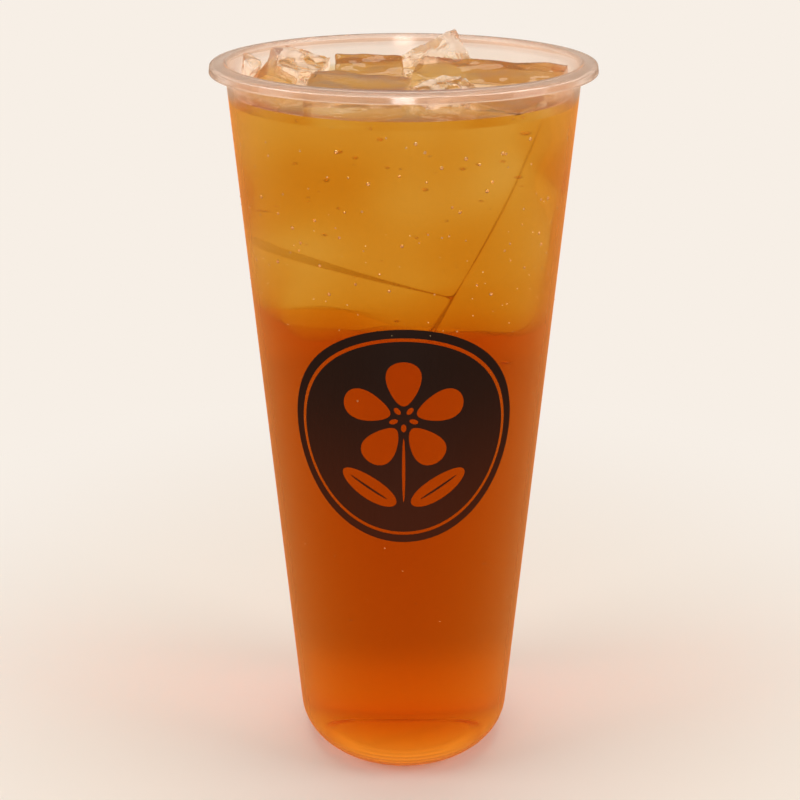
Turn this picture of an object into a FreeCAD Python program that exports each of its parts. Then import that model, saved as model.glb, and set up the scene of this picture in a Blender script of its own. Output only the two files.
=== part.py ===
import FreeCAD, Part

import math
import os

# Jasmine iced tea in a tall polypropylene cup: the cup, the tea and the ice that stands out of the tea.
# Millimetres. The origin is the centre of the cup's foot on the table, +Z is up and -Y is the front.

# The cup is a 700 ml injection-moulded one with a 90 mm sealing rim and a rounded foot.
CUP_HEIGHT = 185.0
RIM_RADIUS = 45.0  # outside of the turned-down lip
TOP_RADIUS = 41.45  # outside of the wall, carried on up to the rim's top
BASE_RADIUS = 28.2  # outside of the wall, carried on down to the table
WALL = 0.7
FOOT_ROUND = 10.0  # outside, between wall and base
FLANGE = 1.0  # thickness of the rim's top
FLANGE_FALL = 0.4  # how much lower the rim's top is at its outer edge
LIP_DEPTH = 2.4  # how far the lip hangs below the rim's top
LIP_WALL = 0.9
RIM_ROUND = 1.2
MOUTH_ROUND = 0.6  # where the flange turns into the inner wall
SMALL_ROUND = 0.25
RECESS_DEPTH = 1.2  # push-up under the base
RECESS_RADIUS = 12.5
FOOT_INNER_RADIUS = 14.5
RECESS_ROUND = 1.0

TEA_LEVEL = 178.0

ICE_FLOOR = 166.0  # the lowest point of any ice that stands out of the tea
ICE_TO_WALL = 0.5
ICE_APART = 0.5  # meltwater between one block and the next

# Each ice block is a box leaning on its neighbours: where its highest corner is, its size, its yaw, pitch and roll in
# degrees, and its broken corners, each as the corner's side along the block's own X, Y and Z, and a size.
ICE = {
    "ice_back_peak": ((12.7, 25.0, 188.8), (17.5, 12, 12), (22, -21, 50), []),
    "ice_right_slab": ((4.9, 16.2, 183.2), (36, 14, 13), (-19, 0.3, 14), [((-1, -1, 1), 5)]),
    "ice_left_peak": ((-31.0, 2.0, 184.8), (8, 8, 12), (50, -30, 42), []),
    "ice_left_chunk": ((-28.7, 17.0, 186.1), (12, 14, 16), (-10, 14, 12), [((1, -1, 1), 5)]),
    "ice_middle_slab": ((-16.6, 14.0, 184.0), (16.5, 12, 14), (1, 0.5, 16), []),
    "ice_left_wedge": ((-38.0, 5.0, 185.8), (5, 8, 14), (8, 5, 6), [((1, 1, 1), 4.5), ((1, -1, 1), 6)]),
    "ice_back_shard": ((-32.8, 20.0, 184.9), (8, 6, 10), (30, 10, 20), []),
    "ice_front_slab": ((-20.5, -6.0, 182.9), (22, 21, 12), (-5, 5, 3), [((-1, 1, 1), 5)]),
    "ice_front_chunk": ((13.0, -13.0, 183.7), (14, 12, 11), (25, -14, 14), [((1, 1, 1), 4)]),
    "ice_front_block": ((21.5, -11.0, 180.6), (13, 16, 12), (-32, 5, 4), [((1, 1, 1), 3)]),
}


def wall_radius(height):
    """Outside radius of the straight wall."""
    return BASE_RADIUS + (TOP_RADIUS - BASE_RADIUS) * height / CUP_HEIGHT


def inner_radius(height):
    slope = math.atan2(TOP_RADIUS - BASE_RADIUS, CUP_HEIGHT)
    return wall_radius(height) - WALL / math.cos(slope)


def revolved(corners):
    """A solid of revolution about Z from profile corners (radius, height, rounding), each rounding a tangent arc."""
    points = [FreeCAD.Vector(radius, 0, height) for radius, height, rounding in corners]
    edges = []
    starts = []
    ends = []
    for i, (radius, height, rounding) in enumerate(corners):
        corner = points[i]
        back = (points[i - 1] - corner).normalize()
        ahead = (points[(i + 1) % len(points)] - corner).normalize()
        half = back.getAngle(ahead) / 2
        reach = rounding / math.tan(half)
        start = corner + back * reach
        end = corner + ahead * reach
        if rounding > 0:
            inward = (back + ahead).normalize()
            middle = corner + inward * (rounding / math.sin(half) - rounding)
            edges.append(Part.Arc(start, middle, end).toShape())
        starts.append(start)
        ends.append(end)
    for i, end in enumerate(ends):
        start = starts[(i + 1) % len(starts)]
        edges.append(Part.LineSegment(end, start).toShape())
    wire = Part.Wire(Part.__sortEdges__(edges))
    return Part.Face(wire).revolve(FreeCAD.Vector(0, 0, 0), FreeCAD.Vector(0, 0, 1), 360)


def inside_profile(gap=0.0):
    """The cup's inside from the axis out to the foot of its wall, kept a gap away from the wall."""
    return [
        (0, RECESS_DEPTH + WALL, 0),
        (RECESS_RADIUS - WALL / 2, RECESS_DEPTH + WALL, RECESS_ROUND),
        (FOOT_INNER_RADIUS - WALL / 2, WALL, RECESS_ROUND),
        (inner_radius(WALL) - gap, WALL, FOOT_ROUND - WALL),
    ]


def make_cup():
    flange_under = CUP_HEIGHT - FLANGE
    lip_bottom = CUP_HEIGHT - LIP_DEPTH
    outside = [
        (0, RECESS_DEPTH, 0),
        (RECESS_RADIUS, RECESS_DEPTH, RECESS_ROUND),
        (FOOT_INNER_RADIUS, 0, RECESS_ROUND),
        (BASE_RADIUS, 0, FOOT_ROUND),
        (wall_radius(flange_under), flange_under, SMALL_ROUND),
        (RIM_RADIUS - LIP_WALL, flange_under, SMALL_ROUND),
        (RIM_RADIUS - LIP_WALL, lip_bottom, SMALL_ROUND),
        (RIM_RADIUS, lip_bottom, SMALL_ROUND),
        (RIM_RADIUS, CUP_HEIGHT - FLANGE_FALL, RIM_ROUND),
        (inner_radius(CUP_HEIGHT), CUP_HEIGHT, MOUTH_ROUND),
    ]
    return revolved(outside + inside_profile()[::-1])


def cup_inside(level, gap=0.0):
    """The space inside the cup up to a level, kept a gap away from the wall."""
    return revolved(inside_profile(gap) + [(inner_radius(level) - gap, level, 0), (0, level, 0)])


def broken_corner(size, side, chip):
    """The tetrahedron that is missing from one corner of a block."""
    corner = FreeCAD.Vector(*[s * length / 2 for s, length in zip(side, size)])
    legs = [1.0, 0.8, 0.65]
    points = [corner]
    for axis in range(3):
        step = [0, 0, 0]
        step[axis] = -side[axis] * chip * legs[axis]
        points.append(corner + FreeCAD.Vector(*step))
    a, b, c, d = points
    faces = [Part.Face(Part.makePolygon([*three, three[0]])) for three in ((a, b, c), (a, c, d), (a, d, b), (b, d, c))]
    return Part.Solid(Part.Shell(faces))


def make_ice(peak, size, angles, chips):
    length, width, depth = size
    block = Part.makeBox(length, width, depth, FreeCAD.Vector(-length / 2, -width / 2, -depth / 2))
    for side, chip in chips:
        block = block.cut(broken_corner(size, side, chip))
    block.Placement = FreeCAD.Placement(FreeCAD.Vector(0, 0, 0), FreeCAD.Rotation(*angles))
    highest = max((vertex.Point for vertex in block.Vertexes), key=lambda point: point.z)
    block.translate(FreeCAD.Vector(*peak) - highest)
    top = CUP_HEIGHT + FOOT_ROUND
    room = Part.makeCone(
        inner_radius(ICE_FLOOR) - ICE_TO_WALL, inner_radius(top) - ICE_TO_WALL, top - ICE_FLOOR,
        FreeCAD.Vector(0, 0, ICE_FLOOR))
    return block.common(room).Solids[0]


def grown(solid, gap):
    """A solid made larger about its middle by about a gap on every side."""
    larger = solid.copy()
    narrowest = min(solid.BoundBox.XLength, solid.BoundBox.YLength, solid.BoundBox.ZLength)
    larger.scale(1 + 2 * gap / narrowest, solid.CenterOfMass)
    return larger


def main():
    os.makedirs("parts", exist_ok=True)
    cup = make_cup()
    tea = cup_inside(TEA_LEVEL)
    ice = {}
    for name, spec in ICE.items():
        piece = make_ice(*spec)
        for neighbour in ice.values():
            piece = piece.cut(grown(neighbour, ICE_APART))
        ice[name] = max(piece.Solids, key=lambda solid: solid.Volume)
    for piece in ice.values():
        tea = tea.cut(piece)
    for name, solid in {"cup": cup, "tea": tea, **ice}.items():
        solid.exportStep(f"parts/{name}.step")
        print(f"{name}: {solid.Volume / 1000:.2f} ml, valid {solid.isValid()}, {len(solid.Solids)} solid")


main()
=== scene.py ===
# %% [markdown]
# # Jasmine iced tea in a tall cup
#
# A takeaway cup of amber jasmine tea, packed with ice to the brim. The cup is thin polypropylene,
# moulded in one shot, with a flat sealing rim and a rounded foot. Almost everything here is clear, so
# the lesson is about how light crosses one clear thing after another: plastic, tea, ice and air.
#
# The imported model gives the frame. It holds the cup, the tea and the ice blocks that stand out of the
# tea, as plain solids at their real size, and every piece made here is fitted to them.

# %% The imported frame
import math

import bmesh
import bpy
from mathutils import Matrix, Vector, noise


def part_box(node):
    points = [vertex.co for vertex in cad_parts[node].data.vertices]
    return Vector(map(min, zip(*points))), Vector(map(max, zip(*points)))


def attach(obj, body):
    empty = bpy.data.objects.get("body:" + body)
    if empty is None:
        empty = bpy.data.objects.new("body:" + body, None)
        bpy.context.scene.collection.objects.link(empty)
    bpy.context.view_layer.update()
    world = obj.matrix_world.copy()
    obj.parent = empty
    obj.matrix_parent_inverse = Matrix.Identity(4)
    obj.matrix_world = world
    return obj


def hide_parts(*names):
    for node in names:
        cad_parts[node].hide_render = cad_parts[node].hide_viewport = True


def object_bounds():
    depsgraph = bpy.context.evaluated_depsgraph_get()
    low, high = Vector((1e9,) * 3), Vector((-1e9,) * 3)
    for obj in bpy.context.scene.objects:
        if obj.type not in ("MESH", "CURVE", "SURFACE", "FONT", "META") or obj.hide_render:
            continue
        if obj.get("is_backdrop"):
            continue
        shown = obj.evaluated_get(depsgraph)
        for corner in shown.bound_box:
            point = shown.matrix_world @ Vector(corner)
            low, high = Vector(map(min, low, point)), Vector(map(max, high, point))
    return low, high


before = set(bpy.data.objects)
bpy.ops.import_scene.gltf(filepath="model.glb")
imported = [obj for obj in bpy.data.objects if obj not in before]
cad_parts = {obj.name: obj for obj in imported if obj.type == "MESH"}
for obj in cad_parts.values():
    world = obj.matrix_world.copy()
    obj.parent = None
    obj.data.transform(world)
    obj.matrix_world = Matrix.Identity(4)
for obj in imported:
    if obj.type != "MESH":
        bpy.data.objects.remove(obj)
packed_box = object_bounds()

MM = 0.001
MERGE = 1e-6  # metres within which two points count as one
print("nodes:", sorted(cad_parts))

# %% [markdown]
# ## Sizes
#
# The rim's height and radius, the tea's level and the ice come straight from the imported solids. The few
# sizes that a box can't give, such as the wall's thickness and the roundings, are those of an
# injection-moulded cup.

# %% Sizes of the cup and the tea
cup_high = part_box("cup")[1]
tea_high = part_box("tea")[1]
CUP_HEIGHT = cup_high.z
RIM_RADIUS = cup_high.x
TEA_LEVEL = tea_high.z

WALL = 0.7 * MM
TOP_RADIUS = RIM_RADIUS - 3.55 * MM  # outside of the wall, carried on up to the rim
BASE_RADIUS = 28.2 * MM  # outside of the wall, carried on down to the table
FOOT_ROUND = 10.0 * MM
FLANGE = 1.0 * MM
FLANGE_FALL = 0.4 * MM  # how far the flange slopes down from the mouth to its edge
LIP_DEPTH = 2.4 * MM
LIP_WALL = 0.9 * MM
LIP_DRAFT = 0.28 * MM  # how far the lip leans in towards its top, as a mould needs
RIM_ROUND = 0.7 * MM
MOUTH_ROUND = 0.6 * MM
SMALL_ROUND = 0.25 * MM
RECESS_DEPTH = 1.2 * MM  # the push-up under the base
RECESS_RADIUS = 12.5 * MM
FOOT_INNER_RADIUS = 14.5 * MM
RECESS_ROUND = 1.0 * MM


def wall_radius(height):
    """Outside radius of the cup's straight wall at a height."""
    return BASE_RADIUS + (TOP_RADIUS - BASE_RADIUS) * height / CUP_HEIGHT


def inner_radius(height):
    """Inside radius of the cup's straight wall at a height."""
    slope = math.atan2(TOP_RADIUS - BASE_RADIUS, CUP_HEIGHT)
    return wall_radius(height) - WALL / math.cos(slope)


print(f"cup {CUP_HEIGHT / MM:.0f} mm high, rim {2 * RIM_RADIUS / MM:.0f} mm across")
print(f"tea up to {TEA_LEVEL / MM:.0f} mm, {2 * inner_radius(TEA_LEVEL) / MM:.1f} mm across there")

# %% [markdown]
# ## Objects and meshes
#
# Four short helpers take up what every piece needs: an object in the scene, a mesh opened for editing,
# an edited shape turned back into a mesh, and the points of a circle.

# %% Helpers for objects and meshes
def in_scene(name, data):
    """A new object that is linked to the scene."""
    made = bpy.data.objects.new(name, data)
    bpy.context.scene.collection.objects.link(made)
    return made


def opened(mesh):
    """A mesh opened for editing."""
    shape = bmesh.new()
    shape.from_mesh(mesh)
    return shape


def closed(shape, name):
    """An edited shape as a mesh."""
    mesh = bpy.data.meshes.new(name)
    shape.to_mesh(mesh)
    shape.free()
    return mesh


def circle(radius, count):
    """The points of a flat circle."""
    angles = [2 * math.pi * k / count for k in range(count)]
    return [(radius * math.cos(angle), radius * math.sin(angle)) for angle in angles]


print("a turned piece has rings like", circle(1, 4)[:2])

# %% [markdown]
# ## The camera
#
# The cup is seen from the front and a little above, near enough that its taper looks stronger than it
# is. The camera is level from side to side, and a small shift frames the cup a touch right of the
# middle and high up.

# %% Camera
CAMERA_DISTANCE = 347.4 * MM
CAMERA_TILT = math.radians(23.96)  # below the horizon
AIM_HEIGHT = CUP_HEIGHT / 2
CAMERA_LENS, CAMERA_SENSOR = 60.14, 36  # millimetres
CAMERA_SHIFT = (-0.0046, 0.0283)  # in parts of the frame's width
NEAREST_SEEN = 10 * MM

camera = in_scene("camera", bpy.data.cameras.new("camera"))
camera.location = (
    0,
    -CAMERA_DISTANCE * math.cos(CAMERA_TILT),
    AIM_HEIGHT + CAMERA_DISTANCE * math.sin(CAMERA_TILT),
)
camera.rotation_euler = (math.radians(90) - CAMERA_TILT, 0, 0)
camera.data.lens = CAMERA_LENS
camera.data.sensor_width = CAMERA_SENSOR
camera.data.shift_x, camera.data.shift_y = CAMERA_SHIFT
camera.data.clip_start = NEAREST_SEEN
bpy.context.scene.camera = camera
print("camera at", [round(c, 3) for c in camera.location])

# %% [markdown]
# ## Helpers for materials
#
# Colours are written as the hex values that a paint chart would give, and one function turns them to
# the linear light that the renderer works in. One more function adds a node, sets its values and joins
# its inputs.

# %% Material helpers
def linear(code):
    """The linear colour of an sRGB hex code."""
    channels = [int(code[i:i + 2], 16) / 255 for i in (1, 3, 5)]
    return tuple(c / 12.92 if c <= 0.04045 else ((c + 0.055) / 1.055) ** 2.4 for c in channels) + (1.0,)


def add_node(tree, kind, values=None, links=None, **attributes):
    """Adds a node with attributes, values by input, and links by input from another node's output."""
    node = tree.nodes.new(kind)
    for name, value in attributes.items():
        setattr(node, name, value)
    for name, value in (values or {}).items():
        node.inputs[name].default_value = value
    for name, source in (links or {}).items():
        tree.links.new(source, node.inputs[name])
    return node


def new_material(name):
    """An empty node material and its tree."""
    material = bpy.data.materials.new(name)
    material.use_nodes = True
    material.node_tree.nodes.clear()
    return material, material.node_tree


def edge_on_share(tree, power):
    """0 where a surface is seen face on, up to 1 edge on; a higher power keeps it nearer the edge."""
    facing = add_node(tree, "ShaderNodeLayerWeight", {"Blend": 0.5}).outputs["Facing"]
    return add_node(tree, "ShaderNodeMath", {1: power}, {0: facing}, operation="POWER").outputs[0]


def milky(tree, values=None, links=None):
    """A cloudy body, lit alike by what is in front of it and behind it."""
    near, far = [add_node(tree, "ShaderNodeBsdf" + kind, values, links).outputs[0]
                 for kind in ("Diffuse", "Translucent")]
    return add_node(tree, "ShaderNodeMixShader", {0: 0.5}, {1: near, 2: far}).outputs[0]


def end_clear_material(tree, surface, tint, **others):
    """Ends a clear material: a lamp's light crosses it with only a tint, and so reaches what is inside."""
    path = add_node(tree, "ShaderNodeLightPath")
    clear = add_node(tree, "ShaderNodeBsdfTransparent", {"Color": linear(tint)})
    mixed = add_node(tree, "ShaderNodeMixShader", links={
        0: path.outputs["Is Shadow Ray"], 1: surface, 2: clear.outputs[0]})
    add_node(tree, "ShaderNodeOutputMaterial", links={"Surface": mixed.outputs[0], **others})


print("middle grey, as light:", round(linear("#808080")[0], 3))

# %% [markdown]
# ## Helpers for turned pieces
#
# Cup and tea are both turned shapes. Their profiles are given by corners and each corner's rounding, as
# a mould maker would draw them, and the first function rounds them. A long straight run next to a small
# rounding would be shaded as if it bent, so the second function puts a ring close to each end of every
# run. The third turns the profile round the upright axis. A Screw modifier could turn it too, but its
# poles would need merging.

# %% Rounding and splitting a profile
def rounded(corners, step=math.radians(9)):
    """Points along a profile of (radius, height, rounding) corners, with each rounding an arc."""
    points = []
    for i, (radius, height, rounding) in enumerate(corners):
        corner = Vector((radius, height))
        if rounding == 0 or i in (0, len(corners) - 1):
            points.append(corner)
            continue
        back = (Vector(corners[i - 1][:2]) - corner).normalized()
        ahead = (Vector(corners[i + 1][:2]) - corner).normalized()
        half = back.angle(ahead) / 2
        centre = corner + (back + ahead).normalized() * rounding / math.sin(half)
        start = corner + back * rounding / math.tan(half) - centre
        turn = start.angle_signed(corner + ahead * rounding / math.tan(half) - centre)
        count = max(2, round(abs(turn) / step))
        for k in range(count + 1):
            spin = Matrix.Rotation(-turn * k / count, 2)
            points.append(centre + spin @ start)
    return points


def with_holding_rings(points, spacing=4 * MM, hold=0.15 * MM):
    """The profile with its long runs split, and a point close to both ends of each."""
    result = [points[0]]
    for start, end in zip(points, points[1:]):
        length = (end - start).length
        if length > 4 * hold:
            steps = max(1, math.ceil(length / spacing))
            places = [hold / length, *[k / steps for k in range(1, steps)], 1 - hold / length]
            result += [start.lerp(end, place) for place in places]
        result.append(end)
    return result


# %% Turning a profile
SEGMENTS = 192
SHARP = math.radians(35)  # an edge that bends more than this is shaded as a crease


def turned(name, points, segments=SEGMENTS):
    """A closed mesh turned from a profile that starts and ends on the upright axis."""
    shape = bmesh.new()
    rings = []
    for point in with_holding_rings(points):
        if point.x < MERGE / 10:
            rings.append([shape.verts.new((0, 0, point.y))])
            continue
        rings.append([shape.verts.new((x, y, point.y)) for x, y in circle(point.x, segments)])
    for lower, upper in zip(rings, rings[1:]):
        for k in range(segments):
            corners = [lower[k % len(lower)], lower[(k + 1) % len(lower)],
                       upper[(k + 1) % len(upper)], upper[k % len(upper)]]
            shape.faces.new(list(dict.fromkeys(corners)))
    bmesh.ops.recalc_face_normals(shape, faces=shape.faces)
    for face in shape.faces:
        face.smooth = True
    for edge in shape.edges:
        edge.smooth = edge.calc_face_angle(0) < SHARP
    return closed(shape, name)


print("a turned ring has a point every", 360 / SEGMENTS, "degrees")

# %% [markdown]
# ## Handing a piece over
#
# Everything belongs to the one rigid body, so each finished mesh rides on it. A piece says which packed
# solids it stands for.

# %% Adding a finished piece
def add_piece(name, mesh, materials, replaced=()):
    """A piece that rides on the one body and the solids that it stands for."""
    piece = in_scene(name, mesh)
    mesh.materials.clear()
    for material in materials:
        mesh.materials.append(material)
    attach(piece, "root")
    if replaced:
        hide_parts(*replaced)
    print(f"{name}: {len(mesh.polygons)} faces")
    return piece


print("solids to stand for:", len(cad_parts))

# %% [markdown]
# ## Polypropylene
#
# The cup is natural polypropylene, injection moulded against a polished tool. It is smooth and clear
# enough to read the bubbles behind it, but its crystals scatter a little light. Where tea wets the
# wall, that haze is hardly seen. Above the tea, in the thick foot, and where the wall is seen edge on
# and so through more plastic, it looks milky. So the material is clear plastic mixed with a haze, by
# height and by the angle it is seen at.

# %% How hazy the plastic is
DRY_HAZE = 0.025
RIM_HAZE = 0.17
FOOT_HAZE = 0.08
EDGE_HAZE = 1.0
RIM_EDGE_HAZE = 0.12
EDGE_POWER = 3.5  # how narrow the milky edge is
FOOT_TOP = 13.0 * MM
DRY_BAND = (TEA_LEVEL - 0.5 * MM, TEA_LEVEL + 1.5 * MM)  # heights over which the wall turns dry
RIM_BAND = (CUP_HEIGHT - 3.4 * MM, CUP_HEIGHT - 2.2 * MM)  # heights over which the wall turns into the rim


def along_height(tree, band, at_low, at_high):
    """A value that goes smoothly from one number to another between the band's two heights."""
    place = add_node(tree, "ShaderNodeTexCoord")
    height = add_node(tree, "ShaderNodeSeparateXYZ", links={0: place.outputs["Object"]})
    return add_node(tree, "ShaderNodeMapRange", {
        "From Min": band[0], "From Max": band[1], "To Min": at_low, "To Max": at_high,
    }, {"Value": height.outputs["Z"]}, interpolation_type="SMOOTHSTEP").outputs[0]


def haze_share(tree):
    """How much of the wall is haze: by height, and more where it is seen edge on."""
    dry = along_height(tree, DRY_BAND, 0.0, DRY_HAZE)
    rim = along_height(tree, RIM_BAND, 0.0, RIM_HAZE)
    foot = along_height(tree, (0.0, FOOT_TOP), FOOT_HAZE, 0.0)
    ends = add_node(tree, "ShaderNodeMath", links={0: rim, 1: foot}, operation="ADD").outputs[0]
    edges = along_height(tree, RIM_BAND, EDGE_HAZE, RIM_EDGE_HAZE)
    by_angle = add_node(tree, "ShaderNodeMath", operation="MULTIPLY_ADD", links={
        0: edge_on_share(tree, EDGE_POWER), 1: edges, 2: dry})
    return add_node(tree, "ShaderNodeMath", operation="ADD", use_clamp=True, links={
        0: by_angle.outputs[0], 1: ends}).outputs[0]


print(f"haze: {DRY_HAZE:.1%} of the dry wall, {RIM_HAZE:.0%} of the rim, {FOOT_HAZE:.0%} of the foot")

# %% [markdown]
# ## One plastic, three ways for light to cross it
#
# Polypropylene bends light by 1.49 and tea by 1.33. The wall is thin and its faces are parallel, so
# what counts is the bend from air to tea. The outside gets an index close to tea's, and the faces that
# tea wets let light straight through. Where the outer wall has tea behind it, light that leaves goes
# straight out too, because a hazy wall doesn't act as a mirror from within. A lamp's light gets a tint
# as it crosses, and a darker one at that outer wall, so that the floor round the foot keeps a soft
# shadow.

# %% Polypropylene
OUTSIDE_IOR = 1.36
GLOSS = 0.85
WALL_ROUGHNESS = 0.07
RIM_ROUGHNESS = 0.13
PLASTIC_TINT = "#FCF0E6"
WETTED_TINT = "#FDF6EF"
# Painted glow: over the tea the haze is given the tea's amber, in place of the light the tea would throw on
# it.
HAZE_WITH_PAINTED_TEA_GLOW = "#FFB46A"  # haze in front of tea is lit by it
HAZE_WHEN_DRY = "#DCC0AA"
GLOW_BAND = (TEA_LEVEL - 2 * MM, TEA_LEVEL + 1 * MM)
LAMP_TINT = "#F4E6DC"
DARKER_LAMP_TINT = "#A89B8F"


def make_polypropylene(name, lamp_tint, wetted=False, over_tea=False):
    """Hazy clear plastic: dry on both sides, wetted by tea, or dry with tea behind it."""
    material, tree = new_material(name)
    straight = add_node(tree, "ShaderNodeBsdfTransparent", {"Color": linear(WETTED_TINT)})
    glossy = add_node(tree, "ShaderNodeBsdfPrincipled", {
        "Base Color": linear(PLASTIC_TINT),
        "IOR": OUTSIDE_IOR,
        "Specular IOR Level": GLOSS,
        "Transmission Weight": 1.0,
    }, {"Roughness": along_height(tree, RIM_BAND, WALL_ROUGHNESS, RIM_ROUGHNESS)})
    if wetted:
        clear = straight.outputs[0]
    elif over_tea:
        side = add_node(tree, "ShaderNodeNewGeometry")
        clear = add_node(tree, "ShaderNodeMixShader", links={
            0: side.outputs["Backfacing"], 1: glossy.outputs[0], 2: straight.outputs[0]}).outputs[0]
    else:
        clear = glossy.outputs[0]
    glow = add_node(
        tree, "ShaderNodeMix", {"A": linear(HAZE_WITH_PAINTED_TEA_GLOW), "B": linear(HAZE_WHEN_DRY)},
        {"Factor": along_height(tree, GLOW_BAND, 0.0, 1.0)}, data_type="RGBA")
    haze = milky(tree, links={"Color": glow.outputs["Result"]})
    wall = add_node(tree, "ShaderNodeMixShader", links={0: haze_share(tree), 1: clear, 2: haze})
    end_clear_material(tree, wall.outputs[0], lamp_tint)
    return material


polypropylene = make_polypropylene("moulded_polypropylene", LAMP_TINT)
wetted_polypropylene = make_polypropylene("polypropylene_wetted_by_tea", LAMP_TINT, wetted=True)
outer_polypropylene = make_polypropylene("polypropylene_over_tea", DARKER_LAMP_TINT, over_tea=True)
PLASTICS = [polypropylene, wetted_polypropylene, outer_polypropylene]
print("plastics:", [material.name for material in PLASTICS])

# %% [markdown]
# ## Cup
#
# The wall is one thin shell, from the shallow push-up under the base, round the foot, up the taper and
# over the rim to the lip that a lid snaps under. It is turned in one piece, outside and inside, because
# refraction needs both faces of the plastic. Each face then gets the plastic that suits what it
# touches.

# %% Cup
LEVEL_FACE = 0.2  # a face whose normal rises more than this looks up


def inside_of_base():
    """The inside's corners from the axis out to the foot of the wall."""
    return [
        (0, RECESS_DEPTH + WALL, 0),
        (RECESS_RADIUS - WALL / 2, RECESS_DEPTH + WALL, RECESS_ROUND),
        (FOOT_INNER_RADIUS - WALL / 2, WALL, RECESS_ROUND),
        (inner_radius(WALL), WALL, FOOT_ROUND - WALL),
    ]


def make_cup():
    """The shell, turned from its outside up to the mouth and down its inside."""
    under = CUP_HEIGHT - FLANGE
    lip_bottom = CUP_HEIGHT - LIP_DEPTH
    outside = [
        (0, RECESS_DEPTH, 0),
        (RECESS_RADIUS, RECESS_DEPTH, RECESS_ROUND),
        (FOOT_INNER_RADIUS, 0, RECESS_ROUND),
        (BASE_RADIUS, 0, FOOT_ROUND),
        (wall_radius(under), under, SMALL_ROUND),
        (RIM_RADIUS - LIP_WALL, under, SMALL_ROUND),
        (RIM_RADIUS - LIP_WALL, lip_bottom, SMALL_ROUND),
        (RIM_RADIUS, lip_bottom, SMALL_ROUND),
        (RIM_RADIUS - LIP_DRAFT, CUP_HEIGHT - FLANGE_FALL, RIM_ROUND),
        (inner_radius(CUP_HEIGHT), CUP_HEIGHT, MOUTH_ROUND),
    ]
    return turned("cup_shell", rounded(outside + inside_of_base()[::-1]))


cup = add_piece("cup_shell", make_cup(), PLASTICS, ["cup"])
for face in cup.data.polygons:
    middle = face.center
    inwards = face.normal.x * middle.x + face.normal.y * middle.y < 0
    over_base = face.normal.z > LEVEL_FACE and middle.z < FOOT_TOP
    if middle.z < TEA_LEVEL and (inwards or over_base):
        face.material_index = PLASTICS.index(wetted_polypropylene)
    elif middle.z < TEA_LEVEL:
        face.material_index = PLASTICS.index(outer_polypropylene)
materials_of_faces = [PLASTICS[face.material_index] for face in cup.data.polygons]
print(materials_of_faces.count(wetted_polypropylene), "faces of the cup are wetted by tea")

# %% [markdown]
# ## Tea and sunk ice, as light sees them
#
# Tea is clear: it has no colour of its own at its surface, and takes blue and then green out of the
# light that crosses it. That is plain absorption, by the millimetre. Sunk ice takes nothing, so where
# ice fills the cup the tea between the blocks is thin and looks golden, and below the ice it is deep
# and looks like copper. So the sunk ice is made as hollows in the tea. Ice and tea bend light almost
# alike, so the hollows' faces let light straight through, and only take a little of it where they are
# seen edge on.

# %% Tea material
TEA_TAKES = (9.6, 36.5, 135.0)  # absorption of red, green and blue for each metre of tea
TEA_IOR = 1.333
FROST = 0.004  # the share of a sunk block's face that is cloudy
SUNK_FACE = "#FCFCFA"
SUNK_EDGE = "#E8DCC4"
SUNK_EDGE_POWER = 12.0  # how near to edge on a sunk face is before it shows as a line


def absorb(tree):
    """The tea's volume."""
    densest = max(TEA_TAKES)
    kept = [1 - taken / densest for taken in TEA_TAKES]
    return add_node(tree, "ShaderNodeVolumeAbsorption", {
        "Color": (*kept, 1.0), "Density": densest}).outputs[0]


def sunk_ice_face(tree):
    """The face of a sunk block: almost nothing, and a faint line where it is seen edge on."""
    face_on = add_node(tree, "ShaderNodeBsdfTransparent", {"Color": linear(SUNK_FACE)})
    edge_on = add_node(tree, "ShaderNodeBsdfTransparent", {"Color": linear(SUNK_EDGE)})
    outlined = add_node(tree, "ShaderNodeMixShader", links={
        0: edge_on_share(tree, SUNK_EDGE_POWER), 1: face_on.outputs[0], 2: edge_on.outputs[0]})
    frost = add_node(tree, "ShaderNodeBsdfDiffuse", {"Color": linear("#FFFFFF")})
    return add_node(
        tree, "ShaderNodeMixShader", {0: FROST}, {1: outlined.outputs[0], 2: frost.outputs[0]}).outputs[0]


def make_tea_material():
    """One material for every face of the tea; two face attributes say how light crosses each face."""
    material, tree = new_material("clear_amber_tea")
    open_face = add_node(tree, "ShaderNodeBsdfPrincipled", {
        "Base Color": linear("#FFFFFF"),
        "Roughness": 0.0,
        "IOR": TEA_IOR,
        "Transmission Weight": 1.0,
    })
    through = add_node(tree, "ShaderNodeBsdfTransparent", {"Color": linear("#FFFFFF")})
    ice = add_node(tree, "ShaderNodeAttribute", attribute_name="sunk_ice")
    straight = add_node(tree, "ShaderNodeMixShader", links={
        0: ice.outputs["Fac"], 1: through.outputs[0], 2: sunk_ice_face(tree)})
    matched = add_node(tree, "ShaderNodeAttribute", attribute_name="passed_straight")
    body = add_node(tree, "ShaderNodeMixShader", links={
        0: matched.outputs["Fac"], 1: open_face.outputs[0], 2: straight.outputs[0]})
    end_clear_material(tree, body.outputs[0], "#FFFFFF", Volume=absorb(tree))
    return material


tea_material = make_tea_material()
for depth in (10, 60):
    kept = [f"{math.exp(-taken * depth * MM):.0%}" for taken in TEA_TAKES]
    print(f"{depth} mm of tea keep {', '.join(kept)} of red, green and blue")

# %% [markdown]
# ## Ice blocks
#
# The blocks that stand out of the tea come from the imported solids, so that each one lies where it
# should. Real ice has melted a little, so its edges are worn round and its faces are wavy and chipped.
# Each solid is remeshed finely, which rounds its edges, and its points are then moved by noise.

# %% Copying and cutting a solid
def copy_of_node(name):
    """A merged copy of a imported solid's mesh."""
    shape = opened(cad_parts[name].data)
    bmesh.ops.remove_doubles(shape, verts=shape.verts, dist=MERGE)
    bmesh.ops.recalc_face_normals(shape, faces=shape.faces)
    return shape


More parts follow.
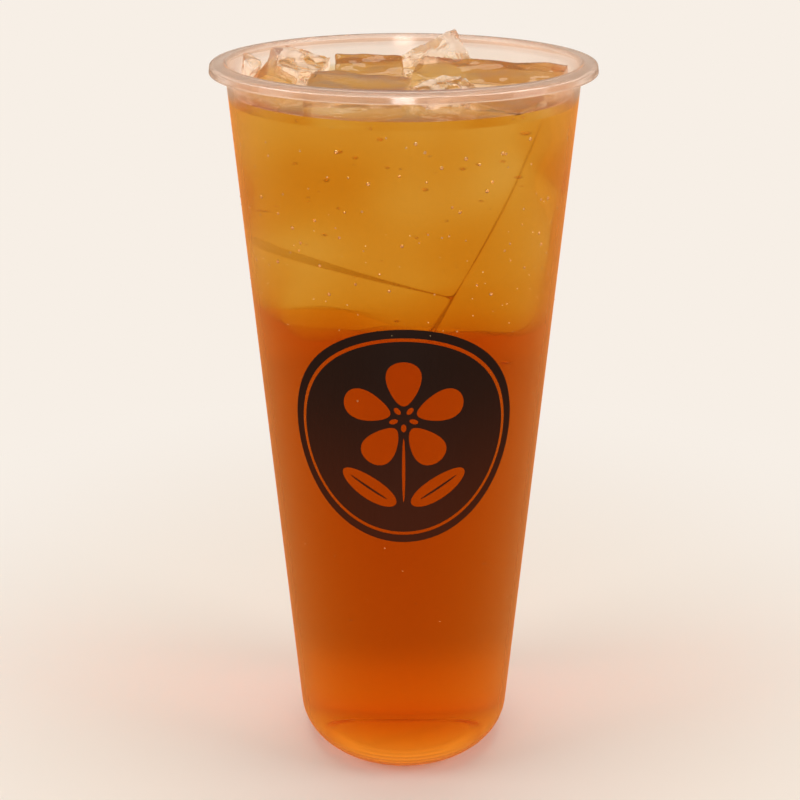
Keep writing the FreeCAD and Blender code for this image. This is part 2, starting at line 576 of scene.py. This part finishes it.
def keep_side(shape, point, normal):
    """Cuts a closed shape by a plane, closes it again, and keeps the side behind the plane."""
    everything = [*shape.verts, *shape.edges, *shape.faces]
    cut = bmesh.ops.bisect_plane(
        shape, geom=everything, plane_co=point, plane_no=normal, clear_outer=True, dist=MERGE / 10)
    rim = [item for item in cut["geom_cut"] if isinstance(item, bmesh.types.BMEdge)]
    if rim:
        bmesh.ops.holes_fill(shape, edges=rim, sides=0)


ICE_NODES = sorted(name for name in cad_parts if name.startswith("ice_"))
for node_name in ICE_NODES:
    solid = copy_of_node(node_name)
    top = max(vert.co.z for vert in solid.verts)
    print(f"{node_name}: {solid.calc_volume() * 1e6:.1f} ml, {(top - TEA_LEVEL) / MM:.1f} mm above the tea")
    solid.free()


# %% Finishing and weathering a mesh
def with_modifiers(mesh, *modifiers):
    """The mesh after modifiers, each given as (kind, settings)."""
    holder = in_scene("holder", mesh)
    for kind, settings in modifiers:
        modifier = holder.modifiers.new(kind.lower(), kind)
        for name, value in settings.items():
            setattr(modifier, name, value)
    graph = bpy.context.evaluated_depsgraph_get()
    result = bpy.data.meshes.new_from_object(holder.evaluated_get(graph))
    bpy.data.objects.remove(holder)
    return result


def remeshed(mesh, detail, *more):
    """The mesh rebuilt from small cubes of one size, which rounds its edges."""
    return with_modifiers(mesh, ("REMESH", {"mode": "VOXEL", "voxel_size": detail}), *more)


DEEPEST_CHIP = 0.7  # in parts of the chip's depth
NOISE_STEP = (3.7, 1.3, 7.1)  # how far apart in the noise two seeds lie


def weather(mesh, wave, wave_size, chip, chip_size, seed):
    """Moves a mesh's points along their normals: long melt waves, and chips from a cell pattern."""
    shape = opened(mesh)
    shape.normal_update()
    offset = Vector([seed * step for step in NOISE_STEP])
    moves = []
    for vert in shape.verts:
        melt = noise.noise(vert.co / wave_size + offset)
        distances = noise.voronoi(vert.co / chip_size + offset)[0]
        moves.append(vert.normal * (wave * melt - chip * min(distances[0], DEEPEST_CHIP)))
    for vert, move in zip(shape.verts, moves):
        vert.co += move
    for face in shape.faces:
        face.smooth = True
    shape.to_mesh(mesh)
    shape.free()
    return mesh


# %% [markdown]
# ## Ice above the tea
#
# Wet ice is clear. Where a face is seen at a slant it gets a painted amber, which stands in for the tea
# that it would show around it. Fast freezing leaves fine cracks and air in some blocks, which scatter the
# light and look white.
# Those patches come from a noise, about 4 mm from one to the next. Part of the light that leaves a
# block goes straight out, because wet, melting faces are never perfect mirrors from within.

# %% Ice materials
ICE_IOR = 1.31
ICE_ROUGHNESS = 0.02
# The edge-on tint is a painted amber, standing in for the tea seen through a slanting face.
ICE_TINT_AND_PAINTED_AMBER = ("#FFF6EA", "#C07A3C")  # face on and edge on
ICE_TINT_POWER = 3.0
LEAVES_STRAIGHT = 0.6  # the share of the light that leaves a block unbent
CLOUD = "#FFF8F0"
CLOUD_SCALE = 220.0  # patches in a metre
CLOUD_FROM, CLOUD_FULL = 0.45, 0.62  # levels of the noise
LAMP_TINT_IN_ICE = "#FFF6E8"
CRACKED = ("ice_back_peak", "ice_left_chunk", "ice_front_chunk", "ice_left_wedge")


def make_ice_material(name, cloudiness):
    """Wet ice: clear, with cloudy patches where fine cracks and trapped air scatter the light."""
    material, tree = new_material(name)
    face_on, edge_on = [linear(code) for code in ICE_TINT_AND_PAINTED_AMBER]
    tint = add_node(
        tree, "ShaderNodeMix", {"A": face_on, "B": edge_on},
        {"Factor": edge_on_share(tree, ICE_TINT_POWER)}, data_type="RGBA").outputs["Result"]
    clear = add_node(tree, "ShaderNodeBsdfPrincipled", {
        "Roughness": ICE_ROUGHNESS,
        "IOR": ICE_IOR,
        "Transmission Weight": 1.0,
    }, {"Base Color": tint})
    straight = add_node(tree, "ShaderNodeBsdfTransparent", links={"Color": tint})
    side = add_node(tree, "ShaderNodeNewGeometry")
    leaving = add_node(
        tree, "ShaderNodeMath", {1: LEAVES_STRAIGHT}, {0: side.outputs["Backfacing"]}, operation="MULTIPLY")
    calm = add_node(tree, "ShaderNodeMixShader", links={
        0: leaving.outputs[0], 1: clear.outputs[0], 2: straight.outputs[0]})
    place = add_node(tree, "ShaderNodeTexCoord")
    patches = add_node(
        tree, "ShaderNodeTexNoise", {"Scale": CLOUD_SCALE, "Detail": 3.0},
        {"Vector": place.outputs["Object"]})
    share = add_node(tree, "ShaderNodeMapRange", {
        "From Min": CLOUD_FROM, "From Max": CLOUD_FULL, "To Min": 0.0, "To Max": cloudiness,
    }, {"Value": patches.outputs["Fac"]}, interpolation_type="SMOOTHSTEP")
    body = add_node(tree, "ShaderNodeMixShader", links={
        0: share.outputs[0], 1: calm.outputs[0], 2: milky(tree, {"Color": linear(CLOUD)})})
    end_clear_material(tree, body.outputs[0], LAMP_TINT_IN_ICE)
    return material


clear_ice = make_ice_material("clear_wet_ice", 0.03)
cracked_ice = make_ice_material("cracked_wet_ice", 0.6)
print(len(CRACKED), "of", len(ICE_NODES), "blocks are cracked")

# %% Ice blocks
BLOCK_FOOT = 0.4 * MM  # how far a block reaches under the tea's surface
BLOCK_DETAIL = 0.45 * MM
MELT, MELT_SIZE = 0.5 * MM, 6 * MM
CHIP_IN_CRACKED, CHIP_IN_CLEAR, CHIP_SIZE = 0.9 * MM, 0.15 * MM, 3 * MM


def make_block(name, seed):
    """The part of a packed ice block above the tea, with a foot just under the tea's surface."""
    shape = copy_of_node(name)
    keep_side(shape, (0, 0, TEA_LEVEL - BLOCK_FOOT), (0, 0, -1))
    fine = remeshed(closed(shape, name), BLOCK_DETAIL)
    chip = CHIP_IN_CRACKED if name in CRACKED else CHIP_IN_CLEAR
    return weather(fine, MELT, MELT_SIZE, chip, CHIP_SIZE, seed)


for number, node_name in enumerate(ICE_NODES):
    block = make_block(node_name, number)
    finish = cracked_ice if node_name in CRACKED else clear_ice
    add_piece("block_" + node_name, block, [finish], [node_name])

# %% [markdown]
# ## Sunk ice
#
# Under the surface the blocks lie packed in the upper part of the cup. They have melted to fit each
# other, and the tea between them is too thin to be told from the ice, so the pack reads as one mass
# with soft bulges and hollows. It could be built from separate blocks, but many thin layers of tea
# between them look like a net of dark lines. So it is made as a turned core that noise pushes in and
# out, and planes cut it into four large blocks. The cut that faces the viewer is hardly seen. The two
# that are seen edge on draw the one clear corner in front.

# %% The pack as one mass
PACK_TOP = TEA_LEVEL - 0.9 * MM
PACK_SHOULDER = TEA_LEVEL - 12.0 * MM
PACK_BOTTOM = 123.0 * MM
PACK_TO_WALL = 6.6 * MM
TOP_TO_WALL = 4.0 * MM
PACK_SQUEEZE = 0.86  # its depth from front to back, as a share of its width
PACK_BOTTOM_ROUND = 8 * MM
PACK_SPARE = 6 * MM  # what the core has above the tea before its top is cut flat
NEAREST_TO_WALL = 1.2 * MM
PACK_WAVE = 7.0 * MM
PACK_WAVE_SIZE = 17.0 * MM
PACK_DETAIL = 1.5 * MM
PACK_SEED = 4


def make_pack():
    """The whole pack as one closed mesh, cut flat just under the tea's surface."""
    corners = [
        (0, PACK_BOTTOM, 0),
        (inner_radius(PACK_BOTTOM) - PACK_TO_WALL, PACK_BOTTOM, PACK_BOTTOM_ROUND),
        (inner_radius(PACK_SHOULDER) - PACK_TO_WALL, PACK_SHOULDER, 0),
        (inner_radius(TEA_LEVEL) - TOP_TO_WALL, TEA_LEVEL, 0),
        (inner_radius(TEA_LEVEL) - TOP_TO_WALL, TEA_LEVEL + PACK_SPARE, 0),
        (0, TEA_LEVEL + PACK_SPARE, 0),
    ]
    core = remeshed(turned("pack", rounded(corners)), PACK_DETAIL)
    shape = opened(weather(core, PACK_WAVE, PACK_WAVE_SIZE, 0.0, MM, PACK_SEED))
    for vert in shape.verts:
        vert.co.y *= PACK_SQUEEZE
        reach = math.hypot(vert.co.x, vert.co.y)
        limit = inner_radius(vert.co.z) - NEAREST_TO_WALL
        if reach > limit:
            vert.co.x *= limit / reach
            vert.co.y *= limit / reach
    keep_side(shape, (0, 0, PACK_TOP), (0, 0, 1))
    return shape


pack = make_pack()
print(f"pack of sunk ice: {pack.calc_volume() * 1e6:.0f} ml")

# %% The pack cut into blocks
ICE_GAP = 0.03 * MM  # half of the tea between two blocks
BEHIND = ((0, -4 * MM, 150 * MM), (0.25, 1, 0.35))  # a point of the plane, and its normal
RIGHT_EDGE = ((19.5 * MM, -31 * MM, 156 * MM), (0.907, -0.021, -0.419))
LOWER_EDGE = ((0, -31 * MM, 141 * MM), (-0.299, -0.222, -0.929))
BLOCKS = (  # the planes that bound each block, and the side of each that it lies on
    ((BEHIND, 1), (RIGHT_EDGE, 1), (LOWER_EDGE, 1)),
    ((BEHIND, 1), (RIGHT_EDGE, 1), (LOWER_EDGE, -1)),
    ((BEHIND, 1), (RIGHT_EDGE, -1)),
    ((BEHIND, -1),),
)
SUNK_DETAIL = 0.9 * MM
EDGE_WEAR = {"factor": 0.5, "iterations": 4}


def pack_blocks():
    """The pack cut into blocks, with their edges worn round."""
    blocks = []
    for sides in BLOCKS:
        block = pack.copy()
        for (point, normal), side in sides:
            outward = Vector(normal).normalized() * side
            keep_side(block, Vector(point) - outward * ICE_GAP, outward)
        blocks.append(remeshed(closed(block, "block"), SUNK_DETAIL, ("SMOOTH", EDGE_WEAR)))
    return blocks


sunk_blocks = pack_blocks()
pack.free()
print("the pack is cut into", len(sunk_blocks), "blocks")


# %% Sinking a block in the tea
def sink(target, hollow):
    """Adds a closed shape's faces to the tea, turned inside out, and marks them as sunk ice."""
    bmesh.ops.recalc_face_normals(hollow, faces=hollow.faces)
    copies = {vert: target.verts.new(vert.co) for vert in hollow.verts}
    straight = target.faces.layers.float["passed_straight"]
    ice = target.faces.layers.float["sunk_ice"]
    for face in hollow.faces:
        made = target.faces.new([copies[vert] for vert in reversed(face.verts)])
        made[straight] = 1.0
        made[ice] = 1.0
        made.smooth = True


# %% [markdown]
# ## Tea
#
# The tea fills the cup up to its level. Its side is turned slightly wider than the cup's inside, so
# that it ends within the plastic and no film of air shows between them. At the wall its surface climbs
# a little, as water does on plastic. That climb is so steep that a smooth one would mirror the deep tea
# as a black line round the cup, so its steep part lets light straight through, as the wetted side does.
# The sunk ice is part of the same mesh, as hollows whose faces look inwards, so that the tea's volume
# ends at them. Two numbers on each face tell the tea's material what the face is.

# %% Tea
INTO_WALL = 0.3 * MM
MENISCUS_RISE = 0.5 * MM
MENISCUS_WIDTH = 2.2 * MM
MENISCUS_STEPS = 8
MENISCUS_FALL = 4  # how quickly the climb dies away from the wall
STEEP = 0.97  # a face whose normal rises less than this is passed straight
SURFACE_DEPTH = 1 * MM


def make_tea():
    """The body of tea with the sunk ice as hollows in it."""
    corners = inside_of_base()
    corners = [(r + INTO_WALL, z - INTO_WALL, rounding) if r > 0 else (r, z - INTO_WALL, 0)
               for r, z, rounding in corners]
    edge = inner_radius(TEA_LEVEL) + INTO_WALL
    points = rounded([*corners, (edge, TEA_LEVEL + MENISCUS_RISE, 0)])
    for k in range(1, MENISCUS_STEPS + 1):
        inwards = k / MENISCUS_STEPS
        points.append(Vector((edge - INTO_WALL - MENISCUS_WIDTH * inwards,
                              TEA_LEVEL + MENISCUS_RISE * math.exp(-MENISCUS_FALL * inwards))))
    points.append(Vector((0, TEA_LEVEL)))
    shape = opened(turned("tea_body", points))
    straight = shape.faces.layers.float.new("passed_straight")
    shape.faces.layers.float.new("sunk_ice")
    for face in shape.faces:
        middle = face.calc_center_median()
        face[straight] = float(face.normal.z < STEEP or middle.z < TEA_LEVEL - SURFACE_DEPTH)
    for block in sunk_blocks:
        hollow = opened(block)
        print("sunk block:", len(hollow.faces), "faces,", round(hollow.calc_volume() * 1e6), "ml")
        sink(shape, hollow)
        hollow.free()
    return closed(shape, "tea_body")


add_piece("tea_body", make_tea(), [tea_material], ["tea"])

# %% [markdown]
# ## Printed emblem
#
# The front carries one dark brown mark, screen printed in a single colour: a round field with a fine
# ring, and a blossom with five petals over two leaves left clear in it. It is drawn flat as a filled
# curve, because outlines inside outlines become holes by themselves. The flat mesh is then cut into
# upright strips and rolled onto the wall. Upright lines of a flat drawing fall on straight lines of the
# tapered wall, so every strip stays flat.

# %% Emblem drawing
EMBLEM_MIDDLE = 103.8 * MM
EMBLEM_RADIUS = 28.0 * MM
FIELD_AND_RING = (1.0, 0.925, 0.895)  # from here on in parts of the emblem's radius
PETALS = 5
BLOSSOM_HEIGHT = 0.2
STEM_TOP, STEM_LENGTH = 0.02, 0.62
LEAF_ACROSS, LEAF_HEIGHT, LEAF_TILT = 0.07, -0.62, 58


def leaf_shape(start, length, width, turn, fullness=0.0, count=40):
    """A pointed leaf or petal: widest in the middle, or nearer its tip as fullness grows."""
    points = []
    for k in range(count):
        angle = 2 * math.pi * k / count
        along = (1 - math.cos(angle)) / 2
        across = math.sin(angle) * (0.5 + fullness * (along - 0.5))
        points.append(Matrix.Rotation(turn, 2) @ Vector((start + along * length, across * width)))
    return points


def emblem_outlines():
    """The field's edge, then the outlines that are cut out of it, in parts of its radius."""
    def moved(outline, x, y):
        return [point + Vector((x, y)) for point in outline]

    outlines = [[Vector(point) for point in circle(radius, 120)] for radius in FIELD_AND_RING]
    for k in range(PETALS):
        turn = math.radians(90 + 360 / PETALS * k)
        between = turn + math.radians(180 / PETALS)
        outlines.append(moved(leaf_shape(0.115, 0.40, 0.27, turn, fullness=0.35), 0, BLOSSOM_HEIGHT))
        outlines.append(moved(leaf_shape(0.05, 0.075, 0.045, between, count=12), 0, BLOSSOM_HEIGHT))
    stem = leaf_shape(0.0, STEM_LENGTH, 0.028, math.radians(-90), count=16)
    outlines.append(moved(stem, 0, STEM_TOP))
    for side in (-1, 1):
        tilt = math.radians(90 - side * LEAF_TILT)
        for leaf in (leaf_shape(0.0, 0.55, 0.22, tilt), leaf_shape(0.09, 0.38, 0.02, tilt, count=16)):
            outlines.append(moved(leaf, side * LEAF_ACROSS, LEAF_HEIGHT))
    return outlines


print("the emblem has", len(emblem_outlines()), "outlines")

# %% Emblem on the wall
STRIP = 1.5 * MM
INK_LIFT = 0.05 * MM
INK_THICKNESS = 0.04 * MM


def make_emblem():
    """The drawing filled, cut into strips, rolled onto the wall and given the ink's thickness."""
    drawing = bpy.data.curves.new("emblem", "CURVE")
    drawing.dimensions = "2D"
    drawing.fill_mode = "BOTH"
    for outline in emblem_outlines():
        spline = drawing.splines.new("POLY")
        spline.points.add(len(outline) - 1)
        for point, place in zip(spline.points, outline):
            point.co = (place.x * EMBLEM_RADIUS, place.y * EMBLEM_RADIUS, 0, 1)
        spline.use_cyclic_u = True
    holder = bpy.data.objects.new("emblem_drawing", drawing)
    flat = bpy.data.meshes.new_from_object(holder)
    bpy.data.objects.remove(holder)
    shape = opened(flat)
    strips = math.ceil(EMBLEM_RADIUS / STRIP)
    for k in range(-strips, strips + 1):
        everything = [*shape.verts, *shape.edges, *shape.faces]
        bmesh.ops.bisect_plane(shape, geom=everything, plane_co=(k * STRIP, 0, 0), plane_no=(1, 0, 0))
    bmesh.ops.remove_doubles(shape, verts=shape.verts, dist=MERGE)
    for vert in shape.verts:
        angle = vert.co.x / wall_radius(EMBLEM_MIDDLE)
        height = EMBLEM_MIDDLE + vert.co.y
        reach = wall_radius(height) + INK_LIFT
        vert.co = (reach * math.sin(angle), -reach * math.cos(angle), height)
    bmesh.ops.recalc_face_normals(shape, faces=shape.faces)
    if sum(face.normal.dot(face.calc_center_median() * Vector((1, 1, 0))) for face in shape.faces) < 0:
        bmesh.ops.reverse_faces(shape, faces=shape.faces)
    shape.to_mesh(flat)
    shape.free()
    return with_modifiers(flat, ("SOLIDIFY", {"thickness": INK_THICKNESS, "offset": -1}))


emblem = make_emblem()
print(f"emblem {2 * EMBLEM_RADIUS / MM:.0f} mm across, {len(emblem.polygons)} faces")

# %% [markdown]
# ## Ink
#
# Screen printing lays down a dull layer that is almost opaque. A trace of light comes through, so it is
# a little browner in its lower part, where the deep tea glows behind it. That is drawn as a change of
# its own colour with height, because real translucence would not survive the export.

# %% Ink
WARM_BAND = (74 * MM, 125 * MM)
INK_BY_THE_ICE = "#24120A"
INK_OVER_DEEP_TEA = "#431804"


def make_ink():
    """Dull screen ink, a little browner lower down."""
    material, tree = new_material("screen_printed_brown_ink")
    colour = add_node(
        tree, "ShaderNodeMix", {"A": linear(INK_BY_THE_ICE), "B": linear(INK_OVER_DEEP_TEA)},
        {"Factor": along_height(tree, WARM_BAND, 1.0, 0.0)}, data_type="RGBA")
    body = add_node(
        tree, "ShaderNodeBsdfPrincipled", {"Roughness": 0.45, "IOR": 1.5, "Specular IOR Level": 0.15},
        {"Base Color": colour.outputs["Result"]})
    add_node(tree, "ShaderNodeOutputMaterial", links={"Surface": body.outputs[0]})
    return material


add_piece("printed_emblem", emblem, [make_ink()])

# %% [markdown]
# ## Bubbles and dew
#
# Small air bubbles cling to the inside of the wall, most of them near the top, and fine beads of dew
# sit on the outside. Both are beads scattered over a band of the wall, so one node tree makes them:
# points are spread over the band, a bead is set on each, and the beads are made real and given their
# material. A bubble bends light the other way round from a drop: it is air inside tea, so its index is
# one over the tea's. Both are only partly clear here, because beads this small are seen as bright specks.

# %% Beads
def bead_tree():
    """The node tree that scatters beads over a surface."""
    tree = bpy.data.node_groups.new("scattered_beads", "GeometryNodeTree")
    tree.interface.new_socket("Geometry", in_out="OUTPUT", socket_type="NodeSocketGeometry")
    tree.interface.new_socket("Geometry", in_out="INPUT", socket_type="NodeSocketGeometry")
    for name, kind in (("Beads per square metre", "Float"), ("Smallest radius", "Float"),
                       ("Largest radius", "Float"), ("Seed", "Int"), ("Material", "Material")):
        tree.interface.new_socket(name, in_out="INPUT", socket_type="NodeSocket" + kind)
    given = add_node(tree, "NodeGroupInput").outputs
    spread = add_node(tree, "GeometryNodeDistributePointsOnFaces", links={
        "Mesh": given["Geometry"], "Density": given["Beads per square metre"], "Seed": given["Seed"]})
    size = add_node(tree, "FunctionNodeRandomValue", links={
        "Min": given["Smallest radius"], "Max": given["Largest radius"], "Seed": given["Seed"]})
    bead = add_node(tree, "GeometryNodeMeshIcoSphere", {"Radius": 1.0, "Subdivisions": 2})
    placed = add_node(tree, "GeometryNodeInstanceOnPoints", links={
        "Points": spread.outputs["Points"], "Instance": bead.outputs["Mesh"],
        "Scale": size.outputs["Value"]})
    real = add_node(tree, "GeometryNodeRealizeInstances", links={"Geometry": placed.outputs["Instances"]})
    smooth = add_node(tree, "GeometryNodeSetShadeSmooth", links={"Geometry": real.outputs["Geometry"]})
    dressed = add_node(tree, "GeometryNodeSetMaterial", links={
        "Geometry": smooth.outputs["Geometry"], "Material": given["Material"]})
    add_node(tree, "NodeGroupOutput", links={"Geometry": dressed.outputs["Geometry"]})
    return tree


bead_nodes = bead_tree()
print("inputs of the beads:", [socket.name for socket in bead_nodes.interface.items_tree])


# %% Beads on a band of the wall
def wall_band(low, high, inset, segments=96):
    """An open band that follows the cup's wall between two heights."""
    shape = bmesh.new()
    rings = []
    for height in (low, high):
        edge = circle(wall_radius(height) - inset, segments)
        rings.append([shape.verts.new((x, y, height)) for x, y in edge])
    for k in range(segments):
        ahead = (k + 1) % segments
        shape.faces.new((rings[0][k], rings[0][ahead], rings[1][ahead], rings[1][k]))
    return closed(shape, "wall_band")


def scatter(band, tree, settings):
    """The mesh of the beads on a band."""
    holder = in_scene("beads", band)
    modifier = holder.modifiers.new("beads", "NODES")
    modifier.node_group = tree
    for socket in tree.interface.items_tree:
        if socket.in_out == "INPUT" and socket.name in settings:
            modifier[socket.identifier] = settings[socket.name]
    graph = bpy.context.evaluated_depsgraph_get()
    graph.update()
    mesh = bpy.data.meshes.new_from_object(holder.evaluated_get(graph))
    holder.modifiers.clear()
    bpy.data.objects.remove(holder)
    return mesh


# %% Bubbles and dew
def make_bead_material(name, tint, index, clearness):
    """A smooth bead of something clear."""
    material, tree = new_material(name)
    body = add_node(tree, "ShaderNodeBsdfPrincipled", {
        "Base Color": linear(tint), "Roughness": 0.02, "IOR": index, "Transmission Weight": clearness})
    end_clear_material(tree, body.outputs[0], "#FFFFFF")
    return material


# The beads' matte part is a painted highlight that makes them bright specks, and the dew's amber tint is
# painted glow of the tea behind it.
AIR = make_bead_material("air_bubble", "#FFF6EC", 1 / TEA_IOR, 0.75)
DEW = make_bead_material("dew_bead", "#FFE2A8", TEA_IOR, 0.6)  # water bends light as tea does
BEADS = (
    # name, slot, material, the band's low and high edge and inset, beads a square metre, radii, seed
    ("bubbles_by_the_ice", "air", AIR, 138, 175, 1.35, 24000, (0.20, 0.45), 3),
    ("bubbles_in_the_tea", "air", AIR, 22, 136, 1.35, 1200, (0.15, 0.34), 5),
    ("dew_by_the_ice", "dew", DEW, 127, 158, 0.0, 20000, (0.07, 0.16), 8),
    ("dew_lower_down", "dew", DEW, 14, 70, 0.0, 4000, (0.05, 0.15), 9),
)
for name, slot, material, low, high, inset, density, radii, seed in BEADS:
    band = wall_band(low * MM, high * MM, inset * MM)
    beads = scatter(band, bead_nodes, {
        "Beads per square metre": density, "Seed": seed, "Material": material,
        "Smallest radius": radii[0] * MM, "Largest radius": radii[1] * MM})
    add_piece(name, beads, [material])

# %% [markdown]
# ## Floor
#
# The cup stands on a plain pale surface that runs on past the edges of the view. Near the cup it is a
# matte floor that keeps the cup's shadow, and farther out it fades into the background's colour. Rays
# that have crossed the cup see the same pale colour, evenly lit. Right under the base they see a painted
# pool of light, amber and brighter, as where tea gathers light. Mirrored rays see a dim warm floor, so
# that ice and rim have darker reflections.

# %% Floor
BACKGROUND = "#F7EFE6"
FLOOR = "#EFE7DD"
# A painted pool of amber light, seen under the base by rays that have crossed the cup.
PAINTED_AMBER_POOL = "#EFC08C"
MIRRORED_FLOOR, MIRRORED_STRENGTH = "#E3B98F", 0.14
SHADOW_FADES = (0.06, 0.24)  # metres from the cup's middle between which each of these changes
AMBER_FADES = (0.012, 0.04)
GATHERED_FADES = (0.02, 0.085)
GATHERED, CUP_SIDE = 1.42, 0.88  # the brightness under the base, and beside it
EVEN_AGAIN = (0.28, 0.5)
FLOOR_REACH = 6


def by_distance(tree, band, at_near, at_far):
    """A value that goes smoothly from one number to another between two distances from the middle."""
    place = add_node(tree, "ShaderNodeTexCoord")
    distance = add_node(
        tree, "ShaderNodeVectorMath", links={0: place.outputs["Object"]}, operation="LENGTH")
    return add_node(tree, "ShaderNodeMapRange", {
        "From Min": band[0], "From Max": band[1], "To Min": at_near, "To Max": at_far,
    }, {"Value": distance.outputs["Value"]}, interpolation_type="SMOOTHSTEP").outputs[0]


def make_floor_material():
    """Matte floor for the eye near the cup, a glow for rays that have crossed the cup, and a painted amber
    pool of light under the base for them.
    """
    material, tree = new_material("pale_floor")
    path = add_node(tree, "ShaderNodeLightPath")
    seen = path.outputs["Is Camera Ray"]
    matte = add_node(tree, "ShaderNodeBsdfDiffuse", {"Color": linear(FLOOR)})
    dim = add_node(tree, "ShaderNodeEmission", {
        "Color": linear(MIRRORED_FLOOR), "Strength": MIRRORED_STRENGTH})
    plain = add_node(tree, "ShaderNodeMath", operation="MAXIMUM", links={
        0: by_distance(tree, AMBER_FADES, 0.0, 1.0), 1: seen})
    lit_by_tea = add_node(
        tree, "ShaderNodeMix", {"A": linear(PAINTED_AMBER_POOL), "B": linear(BACKGROUND)},
        {"Factor": plain.outputs[0]}, data_type="RGBA")
    away = add_node(tree, "ShaderNodeMath", operation="MAXIMUM", links={
        0: by_distance(tree, EVEN_AGAIN, 0.0, 1.0), 1: seen})
    brightness = add_node(tree, "ShaderNodeMath", operation="MAXIMUM", links={
        0: by_distance(tree, GATHERED_FADES, GATHERED, CUP_SIDE), 1: away.outputs[0]})
    even = add_node(tree, "ShaderNodeEmission", links={
        "Color": lit_by_tea.outputs["Result"], "Strength": brightness.outputs[0]})
    far = add_node(tree, "ShaderNodeMath", operation="MULTIPLY", links={
        0: seen, 1: by_distance(tree, SHADOW_FADES, 0.0, 1.0)})
    through = add_node(tree, "ShaderNodeMath", operation="MAXIMUM", links={
        0: path.outputs["Is Transmission Ray"], 1: far.outputs[0]})
    mirrored = add_node(tree, "ShaderNodeMixShader", links={
        0: path.outputs["Is Glossy Ray"], 1: matte.outputs[0], 2: dim.outputs[0]})
    surface = add_node(tree, "ShaderNodeMixShader", links={
        0: through.outputs[0], 1: mirrored.outputs[0], 2: even.outputs[0]})
    add_node(tree, "ShaderNodeOutputMaterial", links={"Surface": surface.outputs[0]})
    return material


sheet = bmesh.new()
bmesh.ops.create_grid(sheet, x_segments=1, y_segments=1, size=FLOOR_REACH)
floor = in_scene("floor", closed(sheet, "floor"))
floor.data.materials.append(make_floor_material())
floor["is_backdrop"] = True
print("floor", 2 * FLOOR_REACH, "m across")

# %% [markdown]
# ## Light
#
# The lamps are soft: a wide one above, a small low one in front that draws the highlight on the lip and
# on the back of the wall, and a weak one from each side. The world fills the shadows with a warm white.
# The eye, and rays that have crossed the cup, see the background's colour in its place.

# %% World
FILL, FILL_STRENGTH = "#FFF1E2", 0.34


def make_world():
    """A warm fill for the object, and the plain background behind it."""
    world = bpy.data.worlds.new("studio")
    bpy.context.scene.world = world
    world.use_nodes = True
    tree = world.node_tree
    tree.nodes.clear()
    path = add_node(tree, "ShaderNodeLightPath")
    seen = add_node(tree, "ShaderNodeMath", operation="MAXIMUM", links={
        0: path.outputs["Is Camera Ray"], 1: path.outputs["Is Transmission Ray"]})
    fill = add_node(tree, "ShaderNodeBackground", {"Color": linear(FILL), "Strength": FILL_STRENGTH})
    behind = add_node(tree, "ShaderNodeBackground", {"Color": linear(BACKGROUND), "Strength": 1.0})
    mixed = add_node(tree, "ShaderNodeMixShader", links={
        0: seen.outputs[0], 1: fill.outputs[0], 2: behind.outputs[0]})
    add_node(tree, "ShaderNodeOutputWorld", links={"Surface": mixed.outputs[0]})


make_world()
print("fill", FILL, "at", FILL_STRENGTH)

# %% Lamps
AIM = (0, 0, 0.1)
LAMPS = (  # name, place, size, watts
    ("overhead", (0.0, 0.25, 0.9), (0.8, 0.8), 3.6),
    ("front", (0.0, -1.05, 0.28), (0.22, 0.18), 3.6),
    ("left", (-0.8, -0.2, 0.45), (0.4, 0.6), 3.0),
    ("right", (0.8, -0.2, 0.45), (0.4, 0.6), 3.0),
)

for name, place, size, power in LAMPS:
    lamp = bpy.data.lights.new(name, "AREA")
    lamp.shape = "RECTANGLE"
    lamp.size, lamp.size_y = size
    lamp.energy = power
    holder = in_scene(name, lamp)
    holder.location = place
    holder.rotation_euler = (Vector(AIM) - Vector(place)).to_track_quat("-Z", "Y").to_euler()
    print(f"{name}: {power} W, {size[0]} x {size[1]} m")

# %% [markdown]
# ## How far light is followed
#
# A ray meets a dozen clear faces on its way through plastic, tea, ice and plastic again, and more where
# it is mirrored. With too few crossings allowed it would end in black.

# %% Crossings
CROSSINGS, STRAIGHT_CROSSINGS = 24, 64
scene = bpy.context.scene
scene.view_settings.view_transform = "Standard"
scene.cycles.max_bounces = CROSSINGS
scene.cycles.transmission_bounces = CROSSINGS
scene.cycles.transparent_max_bounces = STRAIGHT_CROSSINGS
print("crossings followed:", CROSSINGS, "bent and", STRAIGHT_CROSSINGS, "straight")

# %% [markdown]
# ## Finish
#
# The boxes before and after are written out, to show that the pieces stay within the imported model.

# %% Sizes and finish
finished_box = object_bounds()
for label, (low, high) in (("packed", packed_box), ("finished", finished_box)):
    print(label, "size:", [round((b - a) / MM, 1) for a, b in zip(low, high)], "mm")
